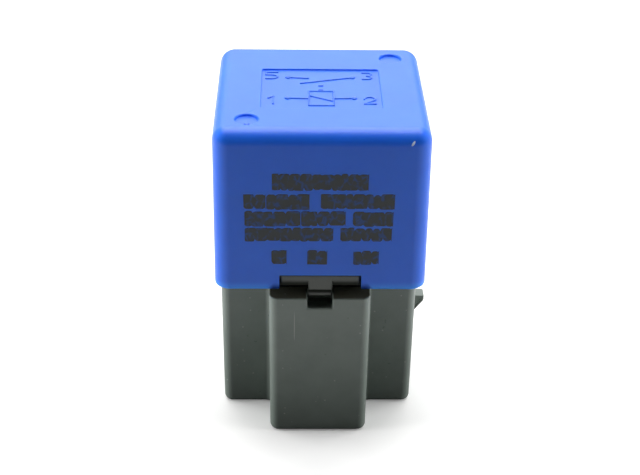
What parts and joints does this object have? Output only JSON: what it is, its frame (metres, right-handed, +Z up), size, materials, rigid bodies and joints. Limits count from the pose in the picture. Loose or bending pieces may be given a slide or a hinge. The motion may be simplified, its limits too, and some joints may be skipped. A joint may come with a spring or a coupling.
{
  "type": "automotive relay",
  "caption": "Plug-in automotive relay: square moulded cover over a sprung hinged armature, cross-shaped housing below with sockets for blade terminals and a lock hook.",
  "frame": {"origin": "centre of the leg housing's flat bottom, on the relay's middle axis", "axes": "+Z up out of the fuse box, along the plug-in direction; -Y is the printed face with the cover's notch; +X is the side with the lock hook"},
  "size_m": [0.0283, 0.027, 0.0457],
  "materials": {
    "blue_moulding": "satin moulded plastic",
    "dark_moulding": "satin moulded plastic",
    "bobbin_moulding": "moulded plastic",
    "enamelled_copper": "enamelled copper wire",
    "solder": "tin solder",
    "soft_iron": "plated soft iron",
    "spring_bronze": "rolled bronze strip",
    "contact_silver": "silver alloy",
    "rivet_brass": "brass",
    "terminal_brass": "rolled brass strip, tinned where it is soldered"
  },
  "bodies": {
    "relay": {"cover": "blue_moulding", "leg_housing": "dark_moulding", "base": "dark_moulding", "bobbin": "bobbin_moulding", "winding": "enamelled_copper", "coil_lead_start": "enamelled_copper", "coil_lead_finish": "enamelled_copper", "solder_joints": "solder", "core": "soft_iron", "yoke": "soft_iron", "fixed_contact": "contact_silver", "yoke_rivets": "rivet_brass", "contact_spring": "spring_bronze", "terminal_1": "terminal_brass", "terminal_2": "terminal_brass", "terminal_3": "terminal_brass", "terminal_5": "terminal_brass"},
    "armature": {"armature": "soft_iron", "armature_rivets": "rivet_brass", "moving_contact": "contact_silver"}
  },
  "joints": [
    {"name": "armature_hinge", "type": "hinge", "parent": "relay", "child": "armature", "pos_m": [0, 0.0094, 0.04], "axis": [1, 0, 0], "range_deg": [0, 1.94], "stiffness_Nm_per_rad": 0.02, "springref_deg": -8.59, "deforming": ["contact_spring"]}
  ]
}
